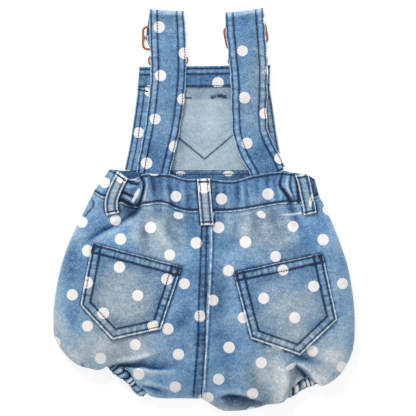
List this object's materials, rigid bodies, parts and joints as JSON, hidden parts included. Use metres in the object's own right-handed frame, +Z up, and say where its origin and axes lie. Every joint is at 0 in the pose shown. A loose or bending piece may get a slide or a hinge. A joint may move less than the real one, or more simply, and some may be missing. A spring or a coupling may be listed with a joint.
{
  "type": "baby romper",
  "caption": "Baby's denim dungaree romper, flat on its front: bib, buckled straps, elastic back waist with belt loops, seat pockets and bubble legs.",
  "frame": {"origin": "middle of the room that the romper takes on the surface, at the surface it lies on", "axes": "+Z up out of the surface, from the romper's front to its back; +Y from the legs towards the shoulder straps; +X to the right as seen from above"},
  "size_m": [0.3021, 0.4036, 0.032],
  "materials": {
    "denim": "washed blue stretch denim with white dots",
    "denim_inside": "pale wrong side of the denim",
    "copper": "copper-coloured plating, satin"
  },
  "bodies": {
    "root": {"back_left": "denim", "back_right": "denim", "front_left": "denim", "front_right": "denim", "pocket_left": "denim", "pocket_right": "denim", "casing_left": "denim", "casing_right": "denim", "strap_left": "denim", "strap_right": "denim", "belt_loop_left": "denim", "belt_loop_centre": "denim", "belt_loop_right": "denim", "waistband_back": "denim", "waistband_front": "denim", "bib": "denim_inside", "bib_facing_top": "denim", "bib_facing_left": "denim", "bib_facing_right": "denim", "bib_pocket": "denim", "slider_left": "copper", "slider_right": "copper", "buckle_left": "copper", "buckle_right": "copper", "button_left": "copper", "button_right": "copper"}
  },
  "joints": []
}
